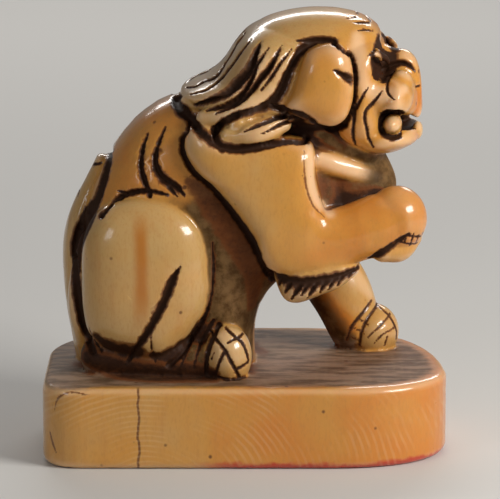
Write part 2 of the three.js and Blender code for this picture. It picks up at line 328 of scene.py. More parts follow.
for side in SIDES:
    tone(pebble(haunch, y=side * 5.6, half=3.8, swell=2.7), 0.12)
    tone(limb(on_side(side, hind_foot)), 0.4, 1)
    tone(ball((-1.6, side * 7.1, 9.3), (2.2, 2.4, 2.9)), 0.15)
    tone(limb(on_side(side, tail_side), flat=1.3), 0.2)
tone(limb(tail_middle, flat=2.2), 0.15)
print(len(lumps), "lumps so far")

# %% [markdown]
# The right foreleg is lifted and the left one stands. Both have the same broad upper arm,
# which hangs from the shoulder like a shield. A tuft of hair hangs from the lifted elbow.

# %% Forelegs and chest
upper_arm = [
    (-4.9, 30.6), (-5.6, 28.8), (-4.7, 26.8), (-3.1, 25.3), (-0.9, 22.7), (0.8, 20.2), (1.9, 17.7),
    (3.4, 16.8), (5.6, 16.8), (8, 17.7), (8.5, 20.6), (7.2, 23), (6.4, 26), (6.1, 28.8), (2.5, 29.9),
    (-1.5, 30.1),
]
chest_ridge = [(5, 4.6, 27.6, 1.3), (8.8, 4.1, 26.3, 1.2), (11.9, 2.6, 25.2, 1), (13.2, 1.2, 24.4, 0.7)]
standing_leg = [(3.8, 5.8, 21, 3.2), (6.6, 5.5, 16.4, 3), (9.1, 4.9, 12.4, 2.9), (10.3, 4.6, 9.4, 2.5)]
tuft = [(2.7, 17.2), (2.9, 15.8), (3.6, 14.5), (4.6, 14.2), (6.5, 14.8), (9, 15.9), (10.5, 17.6), (7, 18.6)]
chest = [
    (3, 30), (8.5, 29.4), (12.3, 27.6), (13.4, 26), (14, 24), (13.2, 21.4), (10.4, 19.4), (5.5, 18),
    (2, 21),
]
neck = [(2, 31), (9, 30.5), (12.3, 29), (13, 27.4), (12.4, 26.2), (9, 26.9), (5, 28.2), (2.2, 29.2)]


def arm_warmth(x, y, z):
    return 0.3 + 0.55 * ease(-1, 10, x)


def ridge_stain(x, y, z):
    """Clean on top of the chest ridge, and stained under it and at its front end."""
    below = 28.6 - 0.36 * (x - 5) - z
    return 0.2 + 0.8 * np.maximum(ease(9.5, 12.5, x), ease(1.2, 2.2, below))


def from_heel(x, z):
    """How far a place on the standing leg is from the leg's rear edge."""
    return x - 6.0 - 0.75 * (11.7 - z)


# Paler, less orange, down the front of the standing leg: a painted highlight.
def leg_warmth_and_highlight(x, y, z):
    return 1.0 - 0.75 * ease(2.6, 4.2, from_heel(x, z)) * ease(8.6, 11, z)


# Painted shade along the standing leg's rear edge, and brown at its foot.
def leg_shade_and_foot_brown(x, y, z):
    back = from_heel(x, z)
    return 0.7 * ease(4.6, 1.6, back) + 0.2 * ease(2.4, 0.6, back) + 0.6 * ease(9.4, 8, z)


for side in SIDES:
    tone(pebble(upper_arm, y=side * 6, half=3.2, swell=3.4, lean=-0.06 * side), arm_warmth)
    tone(limb(on_side(side, chest_ridge)), 0.5, ridge_stain)
tone(limb([(5, -6.2, 19.8, 2.9), (9, -6.2, 20.4, 2.7), (12.2, -5.9, 21.4, 2.8)]), arm_warmth)
tone(ball((13.8, -5.6, 21.9), (2.8, 2.7, 3)), 0.8)
tone(limb([(12.6, -6.6, 19.2, 1.2), (14, -5.8, 19.3, 1.4), (15, -4.6, 20, 1.2)]), 0.4)
tone(pebble(tuft, y=-6.2, half=2.6), 0.25)
tone(limb(standing_leg), leg_warmth_and_highlight, leg_shade_and_foot_brown)
tone(ball((11.9, 4.6, 9), (2.6, 2.8, 2.6)), 0.3)
tone(pebble(chest, y=0, half=4.8), 0.5, 0.9)
tone(pebble(neck, y=0, half=4.9, swell=2.8), 0.5, 1)
print(len(lumps), "lumps so far")

# %% [markdown]
# The mane lies like a cap behind the ears and runs out into three rounded locks on each side.
# The ears are two more pebbles, set flat against it.

# %% Head, mane and ears
skull = [
    (-0.3, 38), (1.9, 39.5), (4.4, 40.2), (7, 40.4), (9.2, 40.2), (11.1, 39.6), (12.4, 38.5), (12.2, 36.8),
    (11, 35), (10.6, 31.5), (9.6, 29.4), (5, 29.4), (0, 32), (-1.6, 35.6),
]
mane = [
    (-6, 32.8), (-5, 33.5), (-3.3, 34.3), (-2, 35.5), (-0.9, 37.2), (0.6, 38.7), (3, 39.4), (6.4, 38.4),
    (6.6, 34), (5.4, 30.6), (1, 29.6), (-2.6, 30.2), (-4.6, 31.4),
]
ear = [
    (5.6, 37.5), (6.8, 38.1), (8.4, 38.2), (9.3, 37.3), (9.8, 35.1), (9.7, 32.9), (9.1, 31.4), (8, 30.7),
    (6.3, 31), (4.9, 31.5), (3.5, 32.4), (4.2, 34.2), (4.8, 36),
]
locks = [
    [(0.6, 5, 35.2, 1.1), (-2.4, 4.8, 33.1, 1.1), (-5.2, 3.6, 32.2, 0.8)],
    [(2.2, 6.8, 34.2, 1.1), (-0.6, 6.9, 32.2, 1.2), (-3.6, 6.2, 31.2, 0.9)],
    [(3.4, 7, 30.9, 0.8), (1.2, 7.6, 30.2, 1.2), (-1.6, 7.4, 29.8, 0.8)],
]


def skull_warmth(x, y, z):
    return 0.2 + 0.4 * ease(4, 12, x)


def throat_stain(x, y, z):
    return ease(31, 30, z)


tone(pebble(skull, y=0, half=6.5, swell=2.6), skull_warmth, throat_stain)
tone(pebble(mane, y=0, half=7.8, swell=2.7), 0.15)
for side in SIDES:
    tone(pebble(ear, y=side * 6.6, half=2.4, swell=2.8), 0.7)
    for lock in locks:
        tone(limb(on_side(side, lock)), 0.15)
print(len(lumps), "lumps so far")

# %% [markdown]
# A lion dog's face is broad and flat: full cheeks, a blunt nose that runs down as a strap over
# the puffed upper lip, and an open jaw. It is drawn looking straight ahead and then turned a
# little.

# %% Face
cheeks = [
    (8.5, 38), (11.4, 38.4), (12.5, 37.8), (12.9, 35.2), (13.3, 32), (13.1, 29.2), (12, 27.9), (9.4, 28.6),
    (8.4, 33),
]
nose = [
    (11.6, 38.2), (12.8, 37.3), (13.8, 36.9), (14.8, 36.8), (15.6, 36.2), (16.1, 35), (16.3, 33.2),
    (16.3, 31), (15.9, 30.4), (14.2, 32), (12.6, 34.4), (11.4, 36.2),
]
upper_lip = [
    (12.5, 34.4), (14.2, 34.9), (15.6, 34.6), (16, 33.2), (15.9, 31.4), (15.3, 30.9), (14, 31.2),
    (12.8, 32.2),
]
jaw = [
    (10.5, 30.6), (13, 30.2), (15.4, 30.1), (16.1, 29.5), (16.1, 28.7), (15, 27.9), (13, 27.4), (10.5, 28),
]
face = [
    pebble(cheeks, y=0, half=6, swell=3.4),
    pebble(nose, y=0, half=1.6),
    pebble(upper_lip, y=0, half=3.4, swell=3),
    pebble(jaw, y=0, half=5),
]
for side in SIDES:
    face.append(ball((14.0, side * 3.1, 32.9), (1.9, 2.9, 1.9)))
    face.append(ball((14.7, side * 2.4, 34), (1.1, 1.5, 1.3)))


def face_warmth(x, y, z):
    """Even, and fully orange on the strap that runs down from the nose."""
    return 0.65 + 0.35 * ease(15.0, 15.8, x) * ease(34, 32.6, z)


for lump in face:
    tone(turned(lump), face_warmth)
print(len(lumps), "lumps in all")

# %% [markdown]
# ## Welding
#
# The lumps only overlap, like clay pressed together. A voxel remesh rebuilds them as one
# closed skin of even quads, which is what fine cutting needs. The eye sockets and the mouth are
# hollowed with a Boolean. The eyes, their lids, the balls in the mouth's corners and the tip of
# the tongue go in after it.

# %% Weld the lumps and hollow the face
VOXEL = 0.17  # the edge of one quad


def joined(pieces):
    select_only(*pieces)
    bpy.ops.object.join()
    return bpy.context.object


def remesh(piece, voxel):
    select_only(piece)
    piece.data.remesh_voxel_size = voxel
    piece.data.use_remesh_preserve_attributes = True
    bpy.ops.object.voxel_remesh()
    return piece


carving = remesh(joined(lumps), VOXEL)
carving.name = "netsuke_carving"
mouth_slot = [(13.8, 0, 30.4, 0.95), (15.2, 0, 30.2, 0.7), (16.4, 0, 29.95, 0.3)]
hollows = [limb(mouth_slot, flat=5)]
for side in SIDES:
    hollows.append(ball((13.8, side * 4.5, 36.8), (1.6, 2.8, 1.9)))
    hollows.append(ball((13.15, side * 4.8, 35.4), (0.8, 2.2, 1.05)))
    hollows.append(ball((14.25, side * 4.9, 30.75), (1.4, 2.4, 1.5)))
hollow = remesh(joined([tone(turned(lump), 0.4, 1, 0.95) for lump in hollows]), VOXEL)
apply_modifier(carving, "BOOLEAN", operation="DIFFERENCE", object=hollow, solver="MANIFOLD")
bpy.data.objects.remove(hollow)
fillings = [tone(ball((15.95, 0, 29.35), (0.5, 1.1, 0.85)), 0.3)]
lid = [(11.9, 4.9, 36.9, 0.2), (12.6, 4.4, 37, 0.25), (13.3, 3.6, 36.6, 0.3), (13.5, 2.6, 36, 0.22)]
eye_slit = [(12.6, 3.7, 37.4, 0.14), (12.8, 3.9, 36.95, 0.33), (13, 3.7, 36.35, 0.14)]


def inner_side_ink(x, y, z):
    return 0.95 * ease(3.4, 2.7, abs(y))


for side in SIDES:
    mouth_ball = ball((14.08, side * 3.4, 30.5), (0.84, 1.65, 0.88))
    fillings.append(tone(mouth_ball, 0.5, 0.12, inner_side_ink))
    fillings.append(tone(limb(on_side(side, eye_slit)), 0.6))
    fillings.append(tone(limb(on_side(side, lid)), 0.4, 0.4, 0.2 if side > 0 else 0.8))
carving = remesh(joined([carving, *(turned(lump) for lump in fillings)]), VOXEL)
apply_modifier(carving, "SMOOTH", factor=0.5, iterations=6)
print("the welded carving has", len(carving.data.polygons), "faces")

# %% [markdown]
# Where one muscle runs into the next, the weld leaves a sharp corner that a carver would have
# rubbed away. So the skin is averaged at such places, and only there.

# %% Helper: average over neighbours
def neighbours(piece):
    return read(piece.data.edges, "vertices", 2, np.int32)


def averaged(values, edges, rounds):
    """Replaces values by the mean of their neighbours, again and again."""
    a = np.concatenate([edges[:, 0], edges[:, 1]])
    b = np.concatenate([edges[:, 1], edges[:, 0]])
    count = np.maximum(np.bincount(a, minlength=len(values)), 1)
    columns = values if values.ndim == 2 else values[:, None]
    for _ in range(rounds):
        sums = [np.bincount(a, column[b], len(values)) for column in columns.T]
        columns = np.column_stack(sums) / count[:, None]
    return columns if values.ndim == 2 else columns[:, 0]


# %% [markdown]
# The places are the lifted forearm, both cheeks beside the lip, the shoulder under the locks and
# the ankle of the standing leg. Each has a centre and a radius.

# %% Rub the joints down
RUBS = 90  # rounds of averaging
rubbed_places = [
    ((8.6, -8.6, 20.4), 3.6), ((12.2, -8.2, 21.6), 2.8),
    ((12.4, -6.2, 33.4), 1.8), ((13.6, -5.6, 32.9), 1.5), ((12.6, 5.6, 33.0), 2.4),
    ((-1.0, -8.0, 31.0), 1.0), ((11.2, 4.0, 10.6), 1.6),
]
points = read_points(carving)
edges = neighbours(carving)
rubbed = averaged(points, edges, RUBS)
share = np.zeros(len(points))
for centre, radius in rubbed_places:
    share = np.maximum(share, ease(radius, 0.5 * radius, np.linalg.norm(points - centre, axis=1)))
write_points(carving, points + (rubbed - points) * share[:, None])
print("rubbed", int((share > 0.1).sum()), "points")

# %% [markdown]
# ## Cutting the lines
#
# Hair, claws, ribs and wrinkles are cut with a narrow chisel. A line is drawn in the side view
# as points of x, z and half its width. It falls onto the skin from the side, and the skin under
# it sinks along its normals into a round-bottomed groove. The groove also remembers its ink,
# because a dark stain was rubbed over the whole figure and stayed only where nothing rubs.
# Distances across the figure count for less, so a line keeps its width on a steep wall. A brush
# paints a stripe without cutting, and a flood fills a hollow down to its floor.

# %% Helpers for cut lines
STEP = 0.12  # from one place to the next along a cut
ACROSS = 0.5  # how much a distance across the figure counts
OUTSIDE = 40  # rays start this far out
TORN = 2.5 * STEP  # places further apart than this have jumped over an edge
BRIDGED = 2.5  # a shorter jump than this is filled along the skin
THINNEST = 0.06  # the least half width of a cut
DEEP_FROM = 0.25  # cuts with a smaller half width than this are shallower
INK_REACH, INK_FADE = 1.5, 0.85  # in half widths: where ink ends, and how long it fades


def read_values(piece, name):
    return read(piece.data.attributes[name].data, "value", 1)[:, 0].astype(float)


def read_normals(piece):
    return read(piece.data.vertices, "normal", 3).astype(float)


skin = BVHTree.FromObject(carving, bpy.context.evaluated_depsgraph_get())
points = read_points(carving)
normals = read_normals(carving)
finder = KDTree(len(points))
for index, point in enumerate(points):
    finder.insert((point[0], ACROSS * point[1], point[2]), index)
finder.balance()
sink = np.zeros(len(points))
ink_and_shade = read_values(carving, "ink_and_shade")
ground_and_shade = read_values(carving, "ground_and_shade")
wear_and_highlight = np.zeros(len(points))
clean = np.zeros(len(points))


def fall(line, side, turn):
    """Drops a drawn line on the skin and returns its places there and its half widths."""
    length = np.linalg.norm(np.diff(np.asarray(line)[:, :2], axis=0), axis=1).sum()
    drawn = smooth_curve(line, max(int(length / STEP), 3))
    places = []
    for x, z, width in drawn:
        start, way = Vector((x, side * OUTSIDE, z)), Vector((0, -side, 0))
        if turn:
            start, way = FACE_TURN @ start, FACE_TURN.to_3x3() @ way
        hit = skin.ray_cast(start, way)[0]
        if hit is None:
            continue
        if places and (hit - places[-1][0]).length > TORN:
            last, last_width = places[-1]
            gap = int((hit - last).length / STEP)
            if gap * STEP < BRIDGED:
                for i in range(1, gap):
                    between = skin.find_nearest(last.lerp(hit, i / gap))[0]
                    places.append((between, last_width + (width - last_width) * i / gap))
        places.append((hit, width))
    return places


def around(place, width, reach):
    """Lists the points within reach half widths of a place, as distance in half widths and index."""
    spot = (place.x, ACROSS * place.y, place.z)
    found = finder.find_range(spot, width * reach)
    return [(distance / width, index) for _, index, distance in found]


def cut(line, depth=0.5, stain=1.0, side=-1, turn=False, rough=0.12):
    """Cuts one line. rough makes its edges waver, as a blade does in hard ivory."""
    seed = line[0][0] * 7 + line[0][1] * 3
    for step, (place, width) in enumerate(fall(line, side, turn)):
        s = step * STEP
        waver = math.sin(s * 5.1 + seed) + math.sin(s * 11.7 + 2 * seed)
        width = max(width * (1 + rough * waver / 2), THINNEST)
        for across, index in around(place, width, INK_REACH):
            if across < 1:
                bowl = (1 - across * across) * min(1, width / DEEP_FROM)
                sink[index] = max(sink[index], depth * bowl)
            ink_and_shade[index] = max(ink_and_shade[index], stain * min(1, (INK_REACH - across) / INK_FADE))


def cut_all(lines, *depth_and_stain, **how):
    for line in lines:
        cut(line, *depth_and_stain, **how)


def brush(values, line, share=1.0, side=-1, turn=False):
    """Paints a soft stripe: full on the line, and nothing at its half width."""
    for place, width in fall(line, side, turn):
        for across, index in around(place, width, 1.0):
            values[index] = max(values[index], share * ease(1.0, 0.35, across))


def flood(values, line, share=1.0, side=-1, turn=False, past=1.0, places=24):
    """Paints all that lies under a stripe, however deep it is, down to past from the middle."""
    turn_back = np.array(FACE_TURN.inverted()) if turn else np.eye(4)
    x, y, z = (points @ turn_back[:3, :3].T + turn_back[:3, 3]).T
    for px, pz, width in smooth_curve(line, places):
        across = np.hypot(x - px, z - pz) / width
        near = (across < 1) & (side * y > past)
        values[near] = np.maximum(values[near], share * ease(1.0, 0.75, across[near]))


print("the skin can be cut at", len(points), "points")

# %% [markdown]
# The mane is combed back in long S-shaped lines that run out between the locks. One broad line
# goes round the ear and under the locks. The far side of the head repeats the near side.

# %% Mane, ears and cheeks
mane_lines = [
    [(0.1, 38.4, 0.1), (-0.8, 37.3, 0.22), (-1.8, 35.7, 0.25), (-2.7, 34.6, 0.25), (-4, 33.9, 0.2),
     (-5.6, 33.2, 0.12)],
    [(0.5, 38.2, 0.06), (-0.4, 37.1, 0.14), (-1.3, 35.8, 0.16), (-2.2, 34.7, 0.16), (-3.1, 34, 0.14),
     (-5, 33.2, 0.08)],
    [(1.4, 38.2, 0.06), (1, 37.5, 0.25), (0.3, 35.9, 0.42), (-0.6, 34.8, 0.45), (-1.7, 33.8, 0.4),
     (-2.8, 33.2, 0.32), (-4.5, 32.3, 0.2)],
    [(2.1, 37.8, 0.05), (1.5, 37, 0.12), (1, 36.3, 0.16), (0.6, 35.2, 0.2), (-0.4, 33.6, 0.25),
     (-1.5, 32.8, 0.25), (-3.5, 32.1, 0.12)],
    [(3.3, 38, 0.06), (2.6, 36.8, 0.2), (2.1, 36, 0.28), (1.4, 35.2, 0.28), (0.6, 34.1, 0.22),
     (-0.6, 33, 0.2), (-2.7, 31.9, 0.08)],
    [(4.2, 37.7, 0.05), (3.1, 36.4, 0.14), (2.3, 35.2, 0.14), (1.4, 34.1, 0.06)],
]
ear_lines = [
    [(6.2, 38.3, 0.35), (5.2, 37.7, 0.4), (4.5, 36.7, 0.35), (3.8, 35.4, 0.4), (3.2, 34, 0.45),
     (2.4, 33, 0.45), (1, 32.3, 0.38), (-0.6, 31.9, 0.35), (-2, 31.1, 0.35), (-2.8, 30.2, 0.35)],
    [(-2.8, 30.4, 0.35), (-2.5, 29.4, 0.35), (-1.3, 28.9, 0.38), (0.3, 28.9, 0.38), (2.1, 29.2, 0.35),
     (3.8, 29.4, 0.3), (5.6, 29.2, 0.3)],
    [(4.6, 38.3, 0.08), (6.7, 38.4, 0.3), (8.2, 38.2, 0.3), (9, 37.6, 0.25), (9.6, 36.8, 0.22),
     (9.9, 35.5, 0.24), (9.9, 34.3, 0.24), (9.8, 33.1, 0.26), (9.5, 32, 0.3), (8.9, 30.8, 0.35)],
    [(2.4, 32.6, 0.3), (3.8, 32.2, 0.35), (5.2, 31.8, 0.4), (6.5, 30.8, 0.45), (7.8, 30.2, 0.45),
     (8.9, 30.7, 0.4)],
    [(-0.2, 30.4, 0.06), (1.1, 31, 0.16), (2.6, 31.5, 0.22), (3.8, 31.7, 0.25)],
    [(1.5, 30.3, 0.06), (2.7, 30.8, 0.14), (3.8, 31.2, 0.2), (5, 31.2, 0.25)],
    [(7.9, 36.2, 0.08), (8.6, 35.8, 0.22), (9.2, 35.4, 0.34), (9.6, 35.1, 0.34)],
]
cheek_lines = [
    [(12.1, 34.1, 0.05), (11.7, 33.5, 0.12), (11.3, 32.8, 0.15), (10.9, 32, 0.16), (10.8, 31, 0.15),
     (10.7, 29.7, 0.15), (10.8, 28.6, 0.1)],
    [(13.3, 33.8, 0.05), (12.8, 33.1, 0.13), (12.5, 32.7, 0.15), (11.9, 32, 0.14), (11.8, 31.3, 0.14),
     (12, 30.3, 0.13), (12.1, 29.3, 0.13), (12.5, 28.5, 0.08)],
    [(14.1, 35.1, 0.06), (13.75, 34.7, 0.11), (13.7, 34.1, 0.12), (13.95, 33.5, 0.11), (14.5, 33.1, 0.05)],
    [(12.9, 35.1, 0.25), (13.6, 35.5, 0.3), (14.6, 35.8, 0.28), (15.3, 35.55, 0.2), (15.8, 35, 0.1)],
    [(10.9, 39, 0.05), (11.4, 39, 0.1), (12, 38.8, 0.05)],
    [(15.9, 33.6, 0.06), (16.2, 33.55, 0.1), (16.5, 33.5, 0.08)],
    [(10.4, 39.6, 0.06), (11.1, 39.5, 0.14), (11.7, 39.3, 0.06)],
    [(9.7, 39.9, 0.05), (10.5, 39.9, 0.1), (11, 39.8, 0.05)],
]
mane_edge = [
    (-6.6, 32.8, 0.35), (-6.2, 32.1, 0.5), (-5.5, 31.4, 0.5), (-4.8, 30.9, 0.42), (-4.1, 30.3, 0.4),
    (-3.2, 29.7, 0.4), (-2.1, 28.9, 0.3),
]
socket = [
    (13, 38.5, 0.6), (13.05, 37.9, 0.85), (13.2, 37.2, 1.05), (13.2, 36.3, 1.1), (13.3, 35.5, 1),
    (13.3, 34.9, 0.6),
]
mouth_ring = [
    (14.9, 31.5, 0.2), (14.1, 31.75, 0.24), (13.3, 31.4, 0.26), (12.95, 30.6, 0.26), (13.3, 29.7, 0.25),
    (14.1, 29.3, 0.22), (14.9, 29.4, 0.15),
]
bridge_shadow = [(13.3, 38.1, 0.5), (13.7, 37.4, 0.6), (13.95, 36.9, 0.45)]
eye = [(12.6, 37.4, 0.2), (12.8, 36.95, 0.4), (13, 36.4, 0.2)]
far_lid = [(12.3, 37, 0.5), (13.2, 36.75, 0.65), (13.6, 36.1, 0.55)]
temple_highlight = [
    (10.9, 38.5, 0.8), (11.1, 37, 1.1), (11.3, 35.6, 1), (11.9, 34.2, 0.9), (13, 33.5, 1), (14.4, 33.5, 1),
    (15.3, 33.9, 0.6),
]
for side in SIDES:
    brush(clean, eye, 0.85, side, True)
    flood(ink_and_shade, socket, 0.88, side, True)
    cut(mouth_ring, 0.1, side=side, turn=True)
    # Pale wear with a painted highlight on the temple and the upper lip.
    brush(wear_and_highlight, temple_highlight, 0.8, side, True)
    cut(mane_edge, 0.5, side=side, rough=0.25)
    cut_all(mane_lines, 0.7, side=side)
    cut_all(ear_lines, 0.6, side=side)
    cut_all(cheek_lines, 0.45, side=side, turn=True, rough=0.1)
flood(ink_and_shade, bridge_shadow, 0.85, turn=True, past=-0.5)
brush(clean, far_lid, 0.9, 1, True)
print("so far", int((sink > 0.05).sum()), "points are cut")

# %% [markdown]
# Each thigh has one deep slanting slit. Two ribs show behind the arm. The rest are toes, hair at the elbow,
# and the creases where one form goes behind another. Thin cracks at the corner of the base come last.
# Brushes add dirt and a painted shadow round the feet under the haunch, a painted shadow on the flank
# behind the arm, and wear with painted highlights on the rubbed edges.

# %% Body, legs and paws
body_lines = [
    [(-5.9, 18.1, 0.06), (-6.6, 16.9, 0.35), (-7.4, 14.9, 0.38), (-8.5, 12.7, 0.33), (-9.5, 11, 0.33),
     (-10.3, 9.6, 0.25), (-10.9, 8.6, 0.12)],
    [(-8.6, 12, 0.05), (-8.6, 10.7, 0.08), (-8.2, 8.9, 0.08)],
    [(-8.9, 29.5, 0.08), (-9.4, 28.2, 0.2), (-9.5, 26.5, 0.26), (-9.1, 25.2, 0.28), (-8.7, 24.2, 0.22)],
    [(-7.3, 30.2, 0.08), (-8.1, 28.3, 0.22), (-8.2, 27, 0.32), (-7.6, 25.9, 0.38), (-6.3, 25.1, 0.3),
     (-5.5, 24.3, 0.1)],
    [(-7.7, 26.2, 0.12), (-6.9, 25, 0.18), (-6.2, 24.2, 0.08)],
    [(-4.9, 30.9, 0.25), (-5.7, 28.7, 0.3), (-4.8, 26.6, 0.3), (-3.2, 25.3, 0.35), (-0.9, 22.5, 0.4),
     (0.8, 20, 0.5), (1.9, 17.4, 0.45), (2.6, 15.8, 0.3)],
    [(-13.1, 22.5, 0.28), (-12.2, 23.3, 0.2), (-11.2, 24, 0.24), (-9.9, 24.5, 0.26), (-8.5, 24.6, 0.2),
     (-7, 24.3, 0.12)],
    [(-11.6, 24.4, 0.1), (-10.6, 24.3, 0.16), (-9.6, 24.7, 0.12)],
    [(-14.3, 12, 0.05), (-13.9, 10.7, 0.1), (-13.1, 9.7, 0.14)],
    [(-3, 20, 0.1), (-2.9, 17.5, 0.14), (-3.1, 15, 0.12), (-3.7, 13, 0.2), (-5.4, 10.3, 0.3),
     (-7, 8.6, 0.35)],
]
tail_groove = [
    (-14, 9.6, 0.4), (-14.9, 11.5, 0.42), (-15.3, 13.5, 0.45), (-15.6, 15.6, 0.45), (-15.75, 17.7, 0.44),
    (-15.45, 19.4, 0.52), (-15, 20.6, 0.55), (-14.5, 21.6, 0.5), (-13.9, 22.7, 0.46), (-13.3, 24.1, 0.44),
    (-12.8, 25.8, 0.46), (-12.5, 27, 0.46), (-12.3, 27.9, 0.4),
]
tail_bend = [
    (-15.55, 16.8, 0.5), (-15.5, 18.6, 0.6), (-15.1, 20.2, 0.6), (-14.6, 21.4, 0.6), (-13.9, 22.7, 0.5),
]
tail_strand = [
    (-13.3, 26.2, 0.12), (-14.1, 25.9, 0.13), (-14.7, 25.1, 0.14), (-15.2, 24, 0.13), (-15.5, 23, 0.05),
]
foot_dirt_and_shadow = [
    (-14.4, 9, 1.2), (-12.2, 8.4, 1.5), (-10, 8, 1.6), (-7.6, 7.8, 1.6), (-5, 8, 1.5), (-3, 7.8, 1.2),
]
arm_shadow = [
    (-5.2, 25.6, 0.6), (-3.7, 24.4, 1.6), (-1.8, 21.6, 1.9), (-0.2, 19, 1.8), (0.8, 16.4, 1.4),
    (0.6, 13.5, 0.8),
]
paw_lines = [
    [(-3.4, 11.7, 0.1), (-2.7, 11.2, 0.14), (-1.9, 10.4, 0.15), (-1.3, 9.3, 0.15), (-0.8, 8.3, 0.15),
     (-0.5, 7.6, 0.15)],
    [(-1.8, 12.1, 0.13), (-1.1, 11.6, 0.13), (-0.3, 10.9, 0.13), (0.1, 10, 0.13), (0.3, 9.1, 0.1)],
    [(-1.6, 11, 0.1), (-0.9, 11.3, 0.12), (-0.2, 11.5, 0.1)],
    [(-1.9, 10.3, 0.13), (-2.4, 9.2, 0.13), (-2.7, 8.1, 0.12)],
    [(-0.7, 8.6, 0.14), (0.2, 9, 0.13)],
    [(-2.9, 10, 0.06), (-3.1, 9.4, 0.1)],
    [(-3, 7.9, 0.1), (-1.6, 7.6, 0.16), (0, 7.6, 0.12)],
    [(-2.4, 12.2, 0.25), (-3.1, 11, 0.28), (-3.5, 9.6, 0.24), (-3.6, 7.9, 0.2)],
    [(-2.9, 12.6, 0.2), (-3.9, 10.9, 0.2), (-4.5, 9.4, 0.12), (-4.7, 8.2, 0.08)],
    [(-3.9, 12.4, 0.2), (-4.9, 10.8, 0.18), (-5.6, 9.3, 0.12), (-6, 8.3, 0.08)],
]
tuft_lines = [
    [(2, 17.6, 0.3), (3.4, 16.8, 0.4), (4.9, 16.5, 0.45), (6.6, 16.7, 0.45), (8.4, 17, 0.4),
     (10.3, 17.6, 0.22)],
    [(3.2, 16.9, 0.3), (3, 15.9, 0.08)],
    [(4.2, 16.7, 0.34), (3.6, 15.4, 0.08)],
    [(5.1, 16.6, 0.36), (4.2, 14.8, 0.08)],
    [(5.8, 16.6, 0.3), (5.1, 15.3, 0.08)],
    [(6.6, 16.7, 0.34), (5.7, 15, 0.08)],
    [(7.4, 16.9, 0.3), (6.8, 15.5, 0.08)],
    [(8.3, 17, 0.3), (7.6, 15.8, 0.08)],
    [(9, 17.2, 0.28), (8.4, 16.1, 0.08)],
    [(9.8, 17.4, 0.2), (9.4, 16.7, 0.06)],
]
rim_lines = [
    [(5.3, 28.6, 0.05), (5.35, 26.9, 0.1), (5.6, 25.1, 0.1), (6.2, 23.6, 0.1), (7.2, 22.5, 0.05)],
    [(5.2, 26.4, 0.06), (5.9, 26.3, 0.07)],
]
arm_rim_highlight = [(5.8, 28.9, 0.7), (5.9, 27, 0.7), (6.1, 25.2, 0.7), (6.7, 23.8, 0.7), (7.7, 22.7, 0.6)]
arm_tip_highlight = [(12.6, 23.9, 0.8), (14.4, 23.6, 1.4), (15.7, 22.4, 1.2), (16, 21.2, 0.8)]
knee_highlight = [(10.1, 15.2, 0.6), (11, 13.8, 0.8), (11.8, 12.6, 0.5)]
ridge_highlight = [(6.4, 27.6, 0.8), (8.6, 26.8, 0.9), (10.8, 25.8, 0.8), (12.2, 25.2, 0.5)]
hem_lines = [
    [(-13.6, 11.2, 0.3), (-12.6, 10.4, 0.55), (-11.2, 10, 0.55), (-9.9, 9.9, 0.5)],
    [(-8.4, 9.5, 0.3), (-7.2, 9.5, 0.45), (-6.2, 10.1, 0.4), (-5.2, 11, 0.25)],
]
base_cracks = [
    [(-17.3, 5.4, 0.06), (-17.1, 6.3, 0.08), (-16.6, 6.9, 0.09), (-15.6, 7.2, 0.09), (-14.3, 7, 0.06)],
    [(-17.8, 3.4, 0.06), (-17.5, 2.2, 0.12), (-17.2, 1.4, 0.06)],
]
fore_lines = [
    [(11.8, 12.1, 0.14), (11.1, 11.3, 0.16), (10, 10, 0.16), (9.5, 8.6, 0.12)],
    [(12.4, 11.6, 0.14), (11.6, 10.8, 0.14), (10.9, 9.5, 0.14), (10.7, 8.1, 0.12)],
    [(12.5, 11.5, 0.1), (13.5, 10.7, 0.11), (14.2, 9.3, 0.11), (14.2, 8.4, 0.1)],
    [(11.5, 9, 0.08), (12.5, 9.9, 0.11), (13.6, 10.8, 0.1)],
    [(12.1, 8.4, 0.08), (12.9, 9.2, 0.1), (13.9, 9.6, 0.08)],
    [(10.6, 10.7, 0.08), (11.5, 10.1, 0.08)],
    [(10.2, 9.8, 0.08), (11.1, 9.3, 0.08)],
    [(9.9, 8.9, 0.08), (10.8, 8.5, 0.08)],
    [(13.1, 8.1, 0.1), (13.3, 8.9, 0.08)],
]
left_toes = [
    [(11.4, 11.2, 0.1), (12.3, 10.4, 0.14), (12.8, 9.2, 0.14), (12.9, 8, 0.1)],
    [(12.6, 11.2, 0.08), (13.5, 10.2, 0.12), (14, 9, 0.12), (14, 8, 0.08)],
    [(10.8, 11.6, 0.1), (10.4, 10.2, 0.16), (10.5, 8.6, 0.12)],
]
lifted_lines = [
    [(11.3, 18.5, 0.2), (12.3, 19.1, 0.34), (13.2, 19.7, 0.3), (14, 20.3, 0.24), (14.9, 20.9, 0.14)],
    [(14.6, 20.8, 0.1), (15.3, 20.6, 0.1), (16, 20.4, 0.08)],
    [(14.2, 20.1, 0.1), (15, 19.8, 0.1), (15.7, 19.6, 0.08)],
    [(14.7, 20.9, 0.08), (14.5, 20, 0.08)],
    [(15.3, 20.8, 0.08), (15, 19.6, 0.08)],
    [(15.8, 20.6, 0.08), (15.5, 19.6, 0.08)],
]
for side in SIDES:
    cut_all(body_lines, 0.5, side=side, rough=0.22)
    cut_all(paw_lines, 0.3, side=side)
    cut(tail_groove, 0.4, side=side, rough=0.1)
    flood(ink_and_shade, tail_bend, side=side)
    cut(tail_strand, 0.2, side=side)
    # Dirt round the hind foot, darkened into a painted shadow under the haunch.
    brush(ground_and_shade, foot_dirt_and_shadow, side=side)
    brush(ink_and_shade, foot_dirt_and_shadow, 0.78, side)
    brush(ink_and_shade, arm_shadow, 0.55, side)
cut_all(tuft_lines, 0.45, rough=0.3)
cut_all(rim_lines, 0.12, 0.45)
cut_all(lifted_lines, 0.3)
cut_all(fore_lines, 0.2, 0.75)
